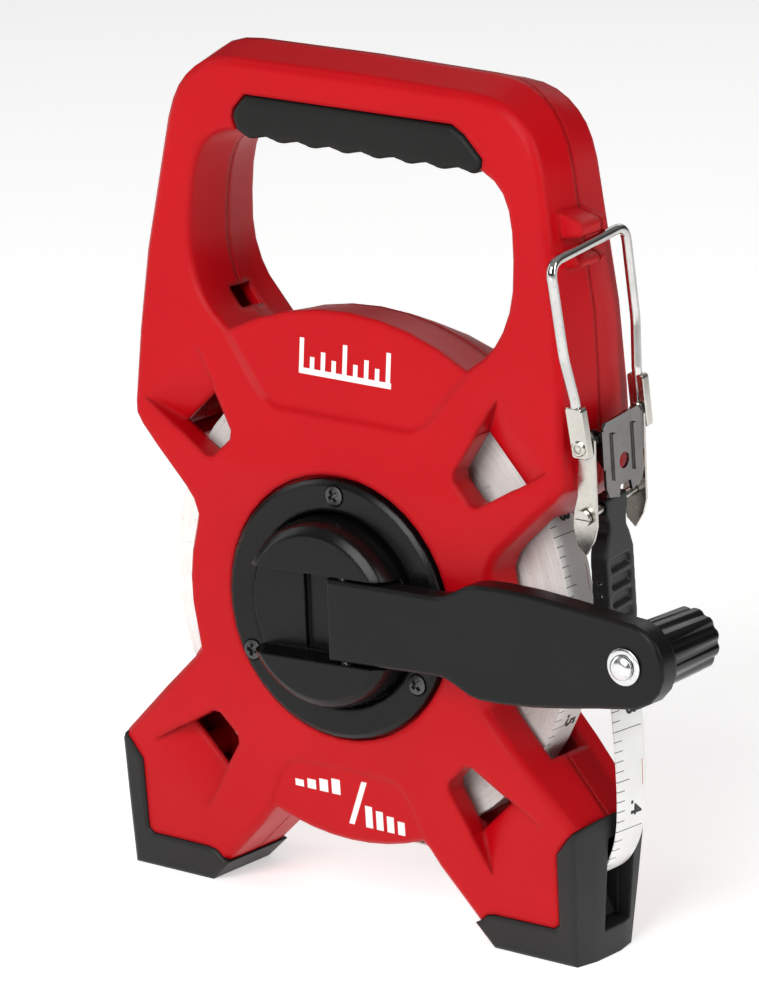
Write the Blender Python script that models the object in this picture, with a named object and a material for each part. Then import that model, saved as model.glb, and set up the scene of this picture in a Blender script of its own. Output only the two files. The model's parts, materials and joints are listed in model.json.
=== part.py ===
"""Open reel measuring tape with a folding crank, three to one planetary winding gear and an end hook.

Every size below is in millimetres. X runs across the reel towards the tape mouth, Y from the crank side to the
back, Z up. Shapes are laid out about the case's centre line and parting plane; the empty "reel" then moves the
whole assembly so that the centre of its bounding box's base is the world origin.
"""

import math

import bmesh
import bpy
from mathutils import Matrix, Vector

MM = 0.001
GAP = 0.3  # clearance between pieces that touch
WELD = 0.000002  # metres within which points left by a Boolean are one

# Case: half depths of the two shells at heights above the floor, and the levels of the main features.
HALF_DEPTHS = ((-5, 13.5), (51, 19.2), (61, 20.4), (137.3, 20.4), (151, 19.3), (195, 16.8), (275, 14.6))
DEEPEST = 20.4
WALL = 2.8
HUB_Z = 98.0
DISC_RADIUS, DISC_RADIUS_MIDDLE, DISC_RADIUS_BACK = 90.2, 88.8, 82.5
NOTCH_RADIUS = 57.8
BELLY_RADIUS = 74.6
EDGE_INSET = 2.0  # from the case's outer edge in to its flat face
# from that edge out at mid depth
SIDE_DRAFT = ((46, 0.0), (66, 0.8), (138, 0.8), (155, 1.2), (195, 1.6), (215, 1.2), (275, 1.0))
TOP_CROWN = 2.6  # how much further the top of the handle swells
HOLLOW_TOP = 226.0
SCREW_SINK = 4.2

# Tape roll and the cavity that it turns in.
ROLL_OUTER, ROLL_INNER, TAPE_WIDTH, ROLL_Y = 73.5, 50.0, 13.0, 1.5
CAVITY_RADIUS, CAVITY_SIDE = 78.5, 2.6
TAPE_THICKNESS = 0.5
MOUTH_Y, MOUTH_HALF, MOUTH_LOW, MOUTH_HIGH = 4.3, 7.4, 8.8, 38.0

# Hub cover, crank hub and crank.
COVER_RADIUS, COVER_BORE, COVER_FACE, COVER_SEAT = 39.9, 29.8, -22.9, -18.3
COVER_SCREW_RADIUS = 35.4
REAR_CAP_RADIUS, REAR_CAP_SEAT, REAR_CAP_FACE = 26.0, 18.7, 22.9
HUB_RADIUS, HUB_TOP, HUB_BACK, CHANNEL_FLOOR, KNUCKLE_FLOOR = 29.2, -33.2, -18.2, -24.2, -22.4
CHANNEL_HALF = 13.0
CRANK_TILT = math.radians(2.7)
CRANK_REACH, FOLD_PIN_REACH, FOLD_PIN_RADIUS = 112.0, 9.0, 2.0
ARM_FRONT, ARM_BACK = -33.4, -25.0
FOLD_PIN_Y = (ARM_FRONT + ARM_BACK) / 2
TIP_RADIUS = 12.5
KNOB_RADIUS, KNOB_LENGTH, KNOB_FLUTES = 10.4, 28.0, 12
BOLT_RADIUS = 2.6

# Planetary gear, 24 + 2 x 12 = 48 teeth, so the spool turns three times for each turn of the crank.
MODULE = 1.25
SUN_TEETH, PLANET_TEETH, RING_TEETH = 24, 12, 48
GEAR_FRONT, GEAR_BACK = -14.6, -8.8
PLANET_ANGLES = (90, 210, 330)
PLANET_ORBIT = MODULE * (SUN_TEETH + PLANET_TEETH) / 2
PLANET_PIN_RADIUS = 2.0
RING_OUTER = 37.3
CARRIER_RADIUS, CARRIER_FRONT, CARRIER_BACK = 33.0, -17.9, -15.3
SPINDLE_RADIUS = 4.5

# Hook on the tape's end, and the cleat on the case that parks it.
HOOK_X, HOOK_Y, HOOK_Z = 81.8, 6.2, 104.0
HOOK_LEAN = math.radians(6.6)
SLEEVE_HALF = 7.3
PLATE_INNER, PLATE_OUTER = 12.3, 13.3
BAIL_PIVOT_X, BAIL_PIVOT_UP = 84.3, 58.5
BAIL_TOP_X, BAIL_TOP_UP = 79.6, 115.0
BAIL_HALF_TOP, BAIL_HALF_FOOT, BAIL_WIRE = 19.2, 15.2, 1.5

# The centre of the whole box, from the case's centre line and parting plane.
BOX_CENTRE_X, BOX_CENTRE_Y = 19.22, -7.0


# ---------------------------------------- scene, materials and mesh helpers


def clear_scene():
    for obj in list(bpy.data.objects):
        bpy.data.objects.remove(obj, do_unlink=True)
    for collection in list(bpy.data.collections):
        bpy.data.collections.remove(collection)


def new_collection(name):
    collection = bpy.data.collections.new(name)
    bpy.context.scene.collection.children.link(collection)
    return collection


def new_material(name, colour, roughness, metallic=0.0):
    material = bpy.data.materials.new(name)
    material.use_nodes = True
    shader = material.node_tree.nodes["Principled BSDF"]
    shader.inputs["Base Color"].default_value = (*colour, 1.0)
    shader.inputs["Roughness"].default_value = roughness
    shader.inputs["Metallic"].default_value = metallic
    material.diffuse_color = (*colour, 1.0)
    return material


clear_scene()
PARTS = new_collection("surveyor_tape_reel")
CUTTERS = new_collection("cutters")

RED = new_material("red_abs", (0.62, 0.012, 0.016), 0.42)
BLACK = new_material("black_nylon", (0.025, 0.025, 0.026), 0.5)
RUBBER = new_material("black_rubber", (0.03, 0.03, 0.029), 0.7)
WHITE = new_material("white_tape", (0.82, 0.80, 0.76), 0.5)
STEEL = new_material("nickel_steel", (0.63, 0.62, 0.58), 0.28, 1.0)
DARK_STEEL = new_material("dark_steel", (0.12, 0.12, 0.12), 0.4, 1.0)
ACETAL = new_material("natural_acetal", (0.78, 0.77, 0.72), 0.45)


def new_empty(name, x, y, z, parent=None, tilt=0.0):
    empty = bpy.data.objects.new(name, None)
    empty.empty_display_size = 0.01
    empty.location = Vector((x, y, z)) * MM
    empty.rotation_euler = (0, tilt, 0)
    empty.parent = parent
    PARTS.objects.link(empty)
    return empty


REEL = new_empty("reel", -BOX_CENTRE_X, -BOX_CENTRE_Y, 0)


def new_object(name, mesh, material=None, parent=REEL, collection=PARTS):
    obj = bpy.data.objects.new(name, mesh)
    if material:
        mesh.materials.clear()
        mesh.materials.append(material)
    obj.parent = parent
    collection.objects.link(obj)
    if collection is CUTTERS:
        obj.hide_render = True
        obj.display_type = "WIRE"
    return obj


def mesh_from(bm, name):
    """The finished mesh in metres, with its faces out and its round parts smooth."""
    bmesh.ops.remove_doubles(bm, verts=bm.verts, dist=0.002)
    bmesh.ops.recalc_face_normals(bm, faces=bm.faces)
    bmesh.ops.connect_verts_nonplanar(bm, angle_limit=0.001, faces=bm.faces)
    bmesh.ops.scale(bm, vec=(MM, MM, MM), verts=bm.verts)
    mesh = bpy.data.meshes.new(name)
    bm.to_mesh(mesh)
    bm.free()
    mesh.shade_smooth()
    mesh.set_sharp_from_angle(angle=math.radians(24))
    return mesh


def loft(rings, closed_ends=True):
    """A solid through rings of 3-D points that all have the same count."""
    bm = bmesh.new()
    rows = [[bm.verts.new(point) for point in ring] for ring in rings]
    count = len(rows[0])
    for low, high in zip(rows, rows[1:]):
        for i in range(count):
            j = (i + 1) % count
            bm.faces.new((low[i], low[j], high[j], high[i]))
    if closed_ends:
        bm.faces.new(rows[0][::-1])
        bm.faces.new(rows[-1])
    return bm


def at_depth(outline, y):
    """An outline of (x, z) points as a ring of 3-D points at depth y."""
    return [(x, y, z) for x, z in outline]


def prism(outline, y_front, y_back):
    return loft([at_depth(outline, y_front), at_depth(outline, y_back)])


def turned(profile, steps=48, x=0.0, z=HUB_Z):
    """A ring turned about a Y axis through (x, z) from a closed profile of (radius, y) points off the axis."""
    bm = bmesh.new()
    rows = []
    for i in range(steps):
        angle = 2 * math.pi * i / steps
        c, s = math.cos(angle), math.sin(angle)
        rows.append([bm.verts.new((x + r * c, y, z + r * s)) for r, y in profile])
    for row, following in zip(rows, rows[1:] + rows[:1]):
        for i in range(len(profile)):
            j = (i + 1) % len(profile)
            bm.faces.new((row[i], row[j], following[j], following[i]))
    return bm


def disc(profile, steps=32, x=0.0, z=HUB_Z):
    """A solid turned about a Y axis from (radius, y) points that run from its front face to its back face."""
    rings = []
    for r, y in profile:
        rings.append(at_depth(circle(r, steps, x, z), y))
    return loft(rings)


def rod(start, end, radius, steps=20):
    """A round bar between two points."""
    start, end = Vector(start), Vector(end)
    turn = (end - start).to_track_quat("Z", "Y")
    rings = []
    for centre in (start, end):
        ring = [turn @ Vector((x, y, 0)) for x, y in circle(radius, steps)]
        rings.append([centre + point for point in ring])
    return loft(rings)


def circle(radius, steps, x=0.0, z=0.0, start=0.0, span=360.0):
    """Points of a circle in the XZ plane, or of an arc of it with both of its ends."""
    last = steps if span == 360.0 else steps - 1
    angles = [math.radians(start + span * i / last) for i in range(steps)]
    return [(x + radius * math.cos(a), z + radius * math.sin(a)) for a in angles]


def offset(outline, distance):
    """The outline of (x, z) points moved outwards by distance, with mitred corners."""
    area = sum(a[0] * b[1] - b[0] * a[1] for a, b in zip(outline, outline[1:] + outline[:1]))
    turn = 1 if area > 0 else -1
    moved = []
    for before, here, after in zip(outline[-1:] + outline[:-1], outline, outline[1:] + outline[:1]):
        one = (Vector(here) - Vector(before)).normalized()
        two = (Vector(after) - Vector(here)).normalized()
        normal = Vector((one.y + two.y, -one.x - two.x)) * turn
        normal.normalize()
        reach = distance / max(0.5, normal.dot(Vector((one.y, -one.x)) * turn))
        moved.append((here[0] + normal.x * reach, here[1] + normal.y * reach))
    return moved


def mirrored(half):
    """A whole outline from its right half, which starts and ends on the centre line."""
    return half + [(-x, z) for x, z in reversed(half) if x > 0.01]


def box(x0, x1, y0, y1, z0, z1):
    return prism([(x0, z0), (x1, z0), (x1, z1), (x0, z1)], y0, y1)


def baked(obj):
    """Replaces the object's mesh by what its modifiers make of it."""
    graph = bpy.context.evaluated_depsgraph_get()
    made = bpy.data.meshes.new_from_object(obj.evaluated_get(graph))
    obj.modifiers.clear()
    obj.data = made
    return obj


def combine(obj, bm, operation="DIFFERENCE"):
    """Cuts the bmesh from the object, or joins it on, and bakes the result."""
    tool = new_object(f"{obj.name}_tool", mesh_from(bm, "tool"), None, obj.parent, CUTTERS)
    modifier = obj.modifiers.new(operation.lower(), "BOOLEAN")
    modifier.operation = operation
    modifier.solver = "EXACT"
    modifier.object = tool
    bpy.context.view_layer.update()
    baked(obj)
    bpy.data.objects.remove(tool, do_unlink=True)
    bm = bmesh.new()
    bm.from_mesh(obj.data)
    bmesh.ops.remove_doubles(bm, verts=bm.verts, dist=WELD)
    bmesh.ops.dissolve_degenerate(bm, edges=bm.edges, dist=WELD)
    bm.to_mesh(obj.data)
    bm.free()
    return obj


def subtract(obj, other):
    """Cuts another object from this one and removes it."""
    bm = bmesh.new()
    bm.from_mesh(other.data)
    bmesh.ops.scale(bm, vec=(1 / MM,) * 3, verts=bm.verts)
    bpy.data.objects.remove(other, do_unlink=True)
    return combine(obj, bm)


def built(name, bm, material, parent=REEL):
    return new_object(name, mesh_from(bm, name), material, parent)


# ---------------------------------------- case outline and its camber


def read_off(table, z):
    """The value at height z of a table of (height, value) levels, straight between them."""
    if z <= table[0][0]:
        return table[0][1]
    for (low, value), (high, next_value) in zip(table, table[1:]):
        if z <= high:
            return value + (next_value - value) * (z - low) / (high - low)
    return table[-1][1]


def half_depth(z):
    return read_off(HALF_DEPTHS, z)


def cambered(obj):
    """Scales the depth of a flat built piece so that its faces follow the case's half depths."""
    bm = bmesh.new()
    bm.from_mesh(obj.data)
    for level, _ in HALF_DEPTHS[1:-1]:
        everything = bm.verts[:] + bm.edges[:] + bm.faces[:]
        bmesh.ops.bisect_plane(bm, geom=everything, dist=1e-7, plane_co=(0, 0, level * MM),
                               plane_no=(0, 0, 1))
    for vert in bm.verts:
        if abs(vert.co.y) > 0.001:
            vert.co.y *= half_depth(vert.co.z / MM) / DEEPEST
    bmesh.ops.connect_verts_nonplanar(bm, angle_limit=0.001, faces=bm.faces)
    bm.to_mesh(obj.data)
    bm.free()
    return obj


def edge_outline():
    """The case's outer edge as (x, z) points clockwise from the top of the handle."""
    handle = [(0, 260.2), (24, 260.0), (43, 259.7), (49.4, 259.1), (54.4, 257.6), (58.6, 255.2),
              (62.0, 252.2)]
    handle += [(64.8, 248.6), (66.9, 244.2), (68.6, 238.4)]
    leg = [(72.0, 219.4), (76.0, 197), (78.2, 172), (79.2, 149.6), (78.8, 146.0), (76.4, 142.6)]
    notch = [(59.4, 125.7), (56.6, 122.2), (54.9, 118.0)]
    notch += circle(NOTCH_RADIUS, 5, 0, HUB_Z, 16, -32)
    notch += [(54.2, 76.0), (56.6, 72.4)]
    foot = [(83.4, 44.6), (86.3, 41.6), (84.4, 0.9), (53.6, 0.9), (47.4, 7.0), (33.6, 21.6), (29.9, 26.4)]
    belly = circle(BELLY_RADIUS, 5, 0, HUB_Z, -68.4, -21.6)
    return mirrored(handle + leg + notch + foot + belly)


def face_outline():
    return offset(edge_outline(), -EDGE_INSET)


def parting_outline():
    """The widest outline, on the parting plane, with the handle's crown and no swell at the feet."""
    wide = []
    for (x, z), (x_out, z_out) in zip(edge_outline(), offset(edge_outline(), 1.0)):
        draft = read_off(SIDE_DRAFT, z)
        crown = TOP_CROWN * min(1, max(0, (z - 236) / 22))
        wide.append((x + (x_out - x) * draft, z + (z_out - z) * min(draft, 0.8) + crown))
    return wide


def opening_outline(arch_radius=DISC_RADIUS, inset=0.0):
    """The hand opening, clockwise from its top, with its sides moved inwards by inset above the disc's arch."""
    side = [(42.8, 237.9), (47.8, 236.9), (52.0, 234.6), (55.2, 231.2), (57.3, 226.6), (58.6, 220.6),
            (59.3, 212)]
    side += [(59.3, 203), (58.3, 196.6), (56.2, 190.4), (53.6, 185.8), (50.4, 182.0)]
    side = [(x - inset, z - 0.4 * inset) for x, z in side]
    return mirrored([(0, 238.2 - 0.4 * inset)] + side + circle(arch_radius, 5, 0, HUB_Z, 61 + inset * 0.6,
                                                               29 - inset * 0.6))


def between(one, other, share):
    return [(a[0] + (b[0] - a[0]) * share, a[1] + (b[1] - a[1]) * share) for a, b in zip(one, other)]


# A shell's section: shares of its depth, each with its place from the widest outline (0) through the edge
# (1) to the face (2).
SECTION = ((0.66, 0.8), (0.9, 1.1), (1.0, 2.0))


def rounded_body(wide, edge, face, side, depth, start):
    """Half of a body, from the widest outline at depth start, past its edge, to the flat face on this side."""
    rings = [at_depth(wide, side * start)]
    for share, place in SECTION:
        outline = between(wide, edge, place) if place < 1 else between(edge, face, place - 1)
        rings.append(at_depth(outline, side * depth * share))
    return loft(rings)


# ---------------------------------------- windows in the four arms


def arm_point(across, up, u, v):
    """(x, z) at u outwards from the hub along one arm and v sideways, which is towards the horizontal."""
    return across * (u + v) * math.sqrt(0.5), HUB_Z + up * (u - v) * math.sqrt(0.5)


def window_half(u):
    return 6.2 + (u - 61.5) * 0.235


def window_lean(up):
    return 1.4 if up > 0 else -1.2


def window_outline(across, up, start, end, grow=0.0):
    """The tapered window of one arm between two distances from the hub, with its inner corners cut."""
    start, end, lean = start - grow, end + grow, window_lean(up)
    near, far = window_half(start) + grow, window_half(end) + grow
    corners = [(start, 1.8 - near), (start, near - 1.8), (start + 1.8, near + 0.3)]
    corners += [(end, far), (end, -far), (start + 1.8, -near - 0.3)]
    return [arm_point(across, up, u, v + lean) for u, v in corners]


def ramp(across, up, side):
    """The wedge that slopes from the window's outer end up to the case's face."""
    rings = []
    for u, sink in ((77.0, 7.4), (92.0, -0.6)):
        half, lean = window_half(u) + 0.3, window_lean(up)
        left, right = arm_point(across, up, u, lean - half), arm_point(across, up, u, lean + half)
        deep, proud = side * (DEEPEST - sink), side * (DEEPEST + 4)
        rings.append([(left[0], deep, left[1]), (right[0], deep, right[1]),
                      (right[0], proud, right[1]), (left[0], proud, left[1])])
    return loft(rings)


ARMS = [(across, up) for across in (-1, 1) for up in (-1, 1)]
SCREW_PLACES = [(across * x, z) for x, z in ((66.4, 207), (69.6, 145.2), (68.4, 36)) for across in (-1, 1)]


# ---------------------------------------- feet, grip and the shells' cutters


def cap_outline(grow=0.0, crown=0.0):
    """The right foot cap's L, from its inner toe round its outer corner, which crown moves outwards."""
    outline = [(53.3, 0.0), (84.2 + crown, 0.0), (85.0 + crown, 20.0), (85.6 + crown, 41.0),
               (84.8 + crown, 43.9 + 1.16 * crown)]
    outline += [(81.6, 40.2), (77.9, 35.2)]
    outline += [(77.5, 12.4), (75.6, 10.8), (54.2, 10.6), (51.2, 10.0), (48.4, 7.4), (46.6, 6.9)]
    return offset(outline, grow) if grow else outline


def flipped(outline):
    return [(-x, z) for x, z in reversed(outline)]


def grip_outline():
    """The grip as seen from the front, with its scalloped finger side below."""
    upper = [(-43.4, 241.6), (-42.8, 244.2), (-38.8, 248.8), (37.0, 249.4), (41.4, 247.0), (48.2, 240.6)]
    count = 14
    lower = [(45.0 - i * 82.0 / count, 236.9 if i % 2 else 235.5) for i in range(count + 1)]
    return upper + [(48.0, 238.2)] + lower + [(-41.6, 237.6)]


def grip_solid(name, grow=0.0, material=None):
    """A U section that wraps the underside of the handle bar."""
    reach = half_depth(242) + 0.7 + grow
    rim = [(-reach, -1.1), (-reach + 1.1, 0), (reach - 1.1, 0), (reach, -1.1)]
    solid = built(name, loft([at_depth(offset(grip_outline(), inset + grow), y) for y, inset in rim]),
                  material)
    core = half_depth(242) - 2.4 - grow
    return combine(solid, box(-60, 60, -core, core, 239.6 + grow, 262))


def panel(outline, side, sink):
    """A shallow recess with a flat floor and sloping sides."""
    floor, lip = side * (DEEPEST - sink), side * (DEEPEST + 1)
    return loft([at_depth(offset(outline, -0.8), floor), at_depth(offset(outline, 0.8), lip)])


def upper_panel():
    arc = circle(DISC_RADIUS + 6, 4, 0, HUB_Z, 62, 21)
    return mirrored([(0, 155.4), (25, 155.6), (30.0, 158.2), (35.0, 163.6), (45.2, 176.4)] + arc)


def lower_panel():
    return mirrored([(0, 47.6), (17.5, 47.0), (21.6, 45.0), (25.4, 40.0), (32.5, 22.0), (20, 16), (0, 14)])


def hollow(side):
    """What is empty inside a shell: its outline less the walls, the window frames, the hub's wall and bosses."""
    outlines = [offset(outline, -WALL) for outline in (parting_outline(), edge_outline(), face_outline())]
    core = built("hollow", rounded_body(*outlines, side, DEEPEST - WALL, -2), None)
    reach = side * 40
    arch = opening_outline(DISC_RADIUS if side < 0 else DISC_RADIUS_BACK)
    solids = [prism(offset(arch, WALL + 0.6), -reach, reach), box(-95, 95, -40, 40, HOLLOW_TOP, 300)]
    for across, up in ARMS:
        solids.append(prism(window_outline(across, up, 61.5, 91.0, WALL - 0.7), side * (DEEPEST - 8.3),
                            reach))
    for x, z in SCREW_PLACES:
        solids.append(disc([(4.3, -30), (4.3, 30)], 8, x, z))
    foot = [(40, -4), (92, -4), (92, 47.6), (83.2, 47.6), (74.3, 37.4), (74.3, 14.2), (50.4, 14.2), (43, 10)]
    solids += [prism(foot, -30, 30), prism(flipped(foot), -30, 30)]
    solids.append(disc([(43.6, -30), (43.6, 2)], 32) if side < 0 else disc([(29.5, 13.4), (29.5, 30)], 24))
    for solid in solids:
        combine(core, solid)
    return cambered(core)


def tape_channel():
    """Room for the tape from under the roll to the mouth in the right foot."""
    low, high = MOUTH_LOW, MOUTH_HIGH
    outline = [(-6, 19.5), (74, 16.0), (78, low), (100, low), (100, high), (80, high), (73, 29), (-6, 29)]
    return prism(outline, ROLL_Y - 9.0, MOUTH_Y + MOUTH_HALF)


def cleat(side):
    """One shell's share of the two nubs that hold the bail's bar between them."""
    reach = -10.0 if side < 0 else 2.2
    nubs = []
    for low, high, proud in ((211.6, 214.4, 79.4), (220.6, 225.2, 79.8)):
        root = [(68, low - 2), (proud - 1, low), (proud, low + 0.9), (proud, high - 0.9), (proud - 1, high),
                (68, high + 3)]
        nubs.append(prism(root, side * 0.4, reach))
    return nubs


def shell(name, side):
    shell = built(name, rounded_body(parting_outline(), edge_outline(), face_outline(), side, DEEPEST,
                                     GAP / 2), RED)
    reach = side * (DEEPEST + 5)
    face_radius = DISC_RADIUS if side < 0 else DISC_RADIUS_BACK
    face, middle = opening_outline(face_radius), opening_outline(DISC_RADIUS_MIDDLE, 2.4)
    rings = [(middle, -1), (middle, 1), (between(middle, face, 0.75), 15), (face, DEEPEST - 1.2)]
    rings += [(offset(face, 0.9), DEEPEST + 0.02), (offset(face, 0.9), DEEPEST + 5)]
    combine(shell, loft([at_depth(outline, side * depth) for outline, depth in rings]))
    for across, up in ARMS:
        combine(shell, prism(window_outline(across, up, 61.5, 77.6), -side, reach))
        combine(shell, ramp(across, up, side))
    combine(shell, panel(upper_panel(), side, 0.9))
    combine(shell, panel(lower_panel(), side, 0.8))
    cambered(shell)
    for nub in cleat(side):
        combine(shell, nub, "UNION")
    empty = hollow(side)
    subtract(shell, empty)
    low, high = ROLL_Y - TAPE_WIDTH / 2 - CAVITY_SIDE, ROLL_Y + TAPE_WIDTH / 2 + CAVITY_SIDE
    combine(shell, disc([(CAVITY_RADIUS, low), (CAVITY_RADIUS, high)], 40))
    combine(shell, prism(cap_outline(GAP, 0.8), -30, 30))
    combine(shell, prism(flipped(cap_outline(GAP, 0.8)), -30, 30))
    combine(shell, tape_channel())
    subtract(shell, grip_solid("grip_room", GAP))
    for across in (-1, 1):
        combine(shell, box(*sorted((across * 47.5, across * 59.5)), -5, 5, 177.6, 186.4))
    for x, z in SCREW_PLACES:
        head = half_depth(z) - SCREW_SINK
        if side < 0:
            combine(shell, disc([(2.1, -9.5), (2.1, 2)], 8, x, z))
        else:
            combine(shell, disc([(2.1, -2), (2.1, head), (3.7, head), (3.7, 30)], 12, x, z))
    if side < 0:
        combine(shell, disc([(41.0, -30), (41.0, COVER_SEAT + GAP), (33.4, COVER_SEAT + GAP), (33.4, -15.4),
                             (37.6, -15.4), (37.6, 0)], 40))
        for x, z in cover_screw_places():
            combine(shell, disc([(1.6, -20), (1.6, -10)], 8, x, z))
    else:
        combine(shell, disc([(SPINDLE_RADIUS + GAP, 0), (SPINDLE_RADIUS + GAP, REAR_CAP_SEAT - GAP),
                             (REAR_CAP_RADIUS + GAP, REAR_CAP_SEAT - GAP), (REAR_CAP_RADIUS + GAP, 30)], 32))
    return shell


def cover_screw_places():
    return circle(COVER_SCREW_RADIUS, 3, 0, HUB_Z, 90, 240)


front_shell = shell("front_shell", -1)
back_shell = shell("back_shell", 1)
grip_solid("grip", 0.0, RUBBER)


def foot_cap(name, outline, has_mouth):
    """A rubber L that wraps a foot's outer corner, a little proud of the shells."""
    proud = DEEPEST * 1.06
    rim = ((-proud, -1.0, -1.2), (1.0 - proud, 0, -0.9), (-9, 0, 0.8), (9, 0, 0.8), (proud - 1.0, 0, -0.9),
           (proud, -1.0, -1.2))
    cap = cambered(built(name, loft([at_depth(outline(inset, crown), y) for y, inset, crown in rim]), RUBBER))
    if has_mouth:
        combine(cap, box(70, 95, MOUTH_Y - MOUTH_HALF, MOUTH_Y + MOUTH_HALF, MOUTH_LOW, MOUTH_HIGH))
    return cap


foot_cap("foot_cap_right", cap_outline, True)
foot_cap("foot_cap_left", lambda grow, crown: flipped(cap_outline(grow, crown)), False)


# ---------------------------------------- fasteners of the case, hub cover and rear cap


def screw(name, x, z, under, tip, head, shank, inward, parent=REEL):
    """A pan head screw along Y, its head outwards from the depth under, with a slot."""
    out = -inward
    profile = [(head * 0.7, under + out * head * 0.75), (head, under + out * head * 0.4), (head, under),
               (shank, under), (shank, tip)]
    piece = built(name, disc(profile, 10, x, z), DARK_STEEL, parent)
    low, high = sorted((under + out * head * 0.35, under + out * head * 2))
    return combine(piece, box(x - head * 0.62, x + head * 0.62, low, high, z - head * 0.16, z + head * 0.16))


for i, (x, z) in enumerate(SCREW_PLACES, 1):
    screw(f"case_screw_{i}", x, z, half_depth(z) - SCREW_SINK + GAP, -8.5, 3.1, 1.6, -1)

cover = built("hub_cover", turned([(COVER_BORE, COVER_SEAT), (COVER_BORE, -21.6), (30.6, -22.5),
                                   (31.8, COVER_FACE),
                                   (38.4, COVER_FACE), (39.9, -21.8), (39.9, COVER_SEAT)], 40), BLACK)
for i, (x, z) in enumerate(cover_screw_places(), 1):
    combine(cover, disc([(3.4, -26), (3.4, -21.0), (1.6, -21.0), (1.6, -17)], 12, x, z))
    screw(f"cover_screw_{i}", x, z, -21.3, -15.9, 3.0, 1.3, 1)

rear_cap = built("rear_cap", disc([(REAR_CAP_RADIUS, REAR_CAP_SEAT), (REAR_CAP_RADIUS, REAR_CAP_FACE - 1.2),
                                   (REAR_CAP_RADIUS - 1.6, REAR_CAP_FACE), (11, REAR_CAP_FACE),
                                   (10, REAR_CAP_FACE - 0.6)], 32), BLACK)
combine(rear_cap, disc([(8.2, 10), (8.2, 21.2)], 24))
built("spindle", disc([(4.0, -20.6), (SPINDLE_RADIUS, -20.1), (SPINDLE_RADIUS, REAR_CAP_SEAT),
                       (7.6, REAR_CAP_SEAT), (7.6, 20.2), (7.0, 20.8)], 24), STEEL)


# ---------------------------------------- planetary gear, spool and tape roll


def gear_outline(teeth, tip, root, x=0.0, z=HUB_Z, phase=0.0, wide=0.5, narrow=0.24):
    """A toothed outline with straight flanks; wide and narrow are a tooth's shares of the pitch at root and tip."""
    points = []
    for i in range(teeth):
        for share, radius in ((-wide, root), (-narrow, tip), (narrow, tip), (wide, root)):
            angle = phase + 2 * math.pi * (i + share / 2) / teeth
            points.append((x + radius * math.cos(angle), z + radius * math.sin(angle)))
    return points


def gear(name, teeth, parent, x=0.0, z=HUB_Z, phase=0.0, bore=0.0):
    tip, root = MODULE * (teeth + 1.7) / 2, MODULE * (teeth - 2.5) / 2
    outline = gear_outline(teeth, tip, root, x, z, phase)
    piece = built(name, prism(outline, GEAR_FRONT, GEAR_BACK), ACETAL, parent)
    return combine(piece, disc([(bore, -20), (bore, 0)], 24, x, z))


ring_gear = built("ring_gear", disc([(RING_OUTER, GEAR_FRONT - 0.5), (RING_OUTER, GEAR_BACK)], 36), ACETAL)
combine(ring_gear, prism(gear_outline(RING_TEETH, MODULE * (RING_TEETH - 1.7) / 2,
                                      MODULE * (RING_TEETH + 2.5) / 2),
                         -20, 0))

# Everything that turns sits in an empty on its own axis; the shapes stay in the reel's own frame.
CRANK = new_empty("crank_axis", 0, 0, HUB_Z, REEL, -CRANK_TILT)
SPOOL = new_empty("spool_axis", 0, 0, HUB_Z, REEL, -3 * CRANK_TILT)


def centred(obj, x=0.0, y=0.0, z=HUB_Z):
    """Moves the mesh so that the object's frame, which sits at (x, y, z), holds it in the same place."""
    obj.data.transform(Matrix.Translation(Vector((-x, -y, -z)) * MM))
    return obj


centred(gear("sun_gear", SUN_TEETH, SPOOL, bore=SPINDLE_RADIUS + GAP))
spool = built("spool_drum", turned([(SPINDLE_RADIUS + GAP, -8.5), (9, -8.5), (9, 0.2), (46.4, 0.2),
                                    (46.4, -4.9), (ROLL_INNER - GAP, -4.9), (ROLL_INNER - GAP, 7.9),
                                    (46.4, 7.9), (46.4, 2.8),
                                    (9, 2.8), (9, 10.2), (SPINDLE_RADIUS + GAP, 10.2)], 30), ACETAL, SPOOL)
for x, z in circle(27.5, 5, 0, HUB_Z):
    combine(spool, disc([(10.5, -3), (10.5, 6)], 12, x, z))
centred(spool)
low, high = ROLL_Y - TAPE_WIDTH / 2, ROLL_Y + TAPE_WIDTH / 2
centred(built("tape_roll", turned([(ROLL_INNER, low), (ROLL_OUTER, low), (ROLL_OUTER, high),
                                   (ROLL_INNER, high)], 48),
              WHITE, SPOOL))

centred(built("planet_carrier", turned([(SPINDLE_RADIUS + GAP, CARRIER_FRONT),
                                        (CARRIER_RADIUS, CARRIER_FRONT),
                                        (CARRIER_RADIUS, CARRIER_BACK),
                                        (SPINDLE_RADIUS + GAP, CARRIER_BACK)], 32), DARK_STEEL, CRANK))
carrier = bpy.data.objects["planet_carrier"]
for i, degrees in enumerate(PLANET_ANGLES, 1):
    angle = math.radians(degrees)
    x, z = PLANET_ORBIT * math.cos(angle), PLANET_ORBIT * math.sin(angle)
    combine(carrier, disc([(PLANET_PIN_RADIUS + GAP, -20), (PLANET_PIN_RADIUS + GAP, -10)], 14, x, z))
    pin = disc([(PLANET_PIN_RADIUS, -17.7), (PLANET_PIN_RADIUS, GEAR_BACK + 0.4)], 14, x, z)
    built(f"planet_pin_{i}", pin, STEEL, CRANK)
    axis = new_empty(f"planet_{i}_axis", x, 0, z, CRANK, 4 * CRANK_TILT)
    phase = angle + math.pi + math.pi / PLANET_TEETH
    gear(f"planet_gear_{i}", PLANET_TEETH, axis, 0, 0, phase, PLANET_PIN_RADIUS + GAP)


# ---------------------------------------- crank hub, folding arm and knob; X runs along the arm

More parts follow.
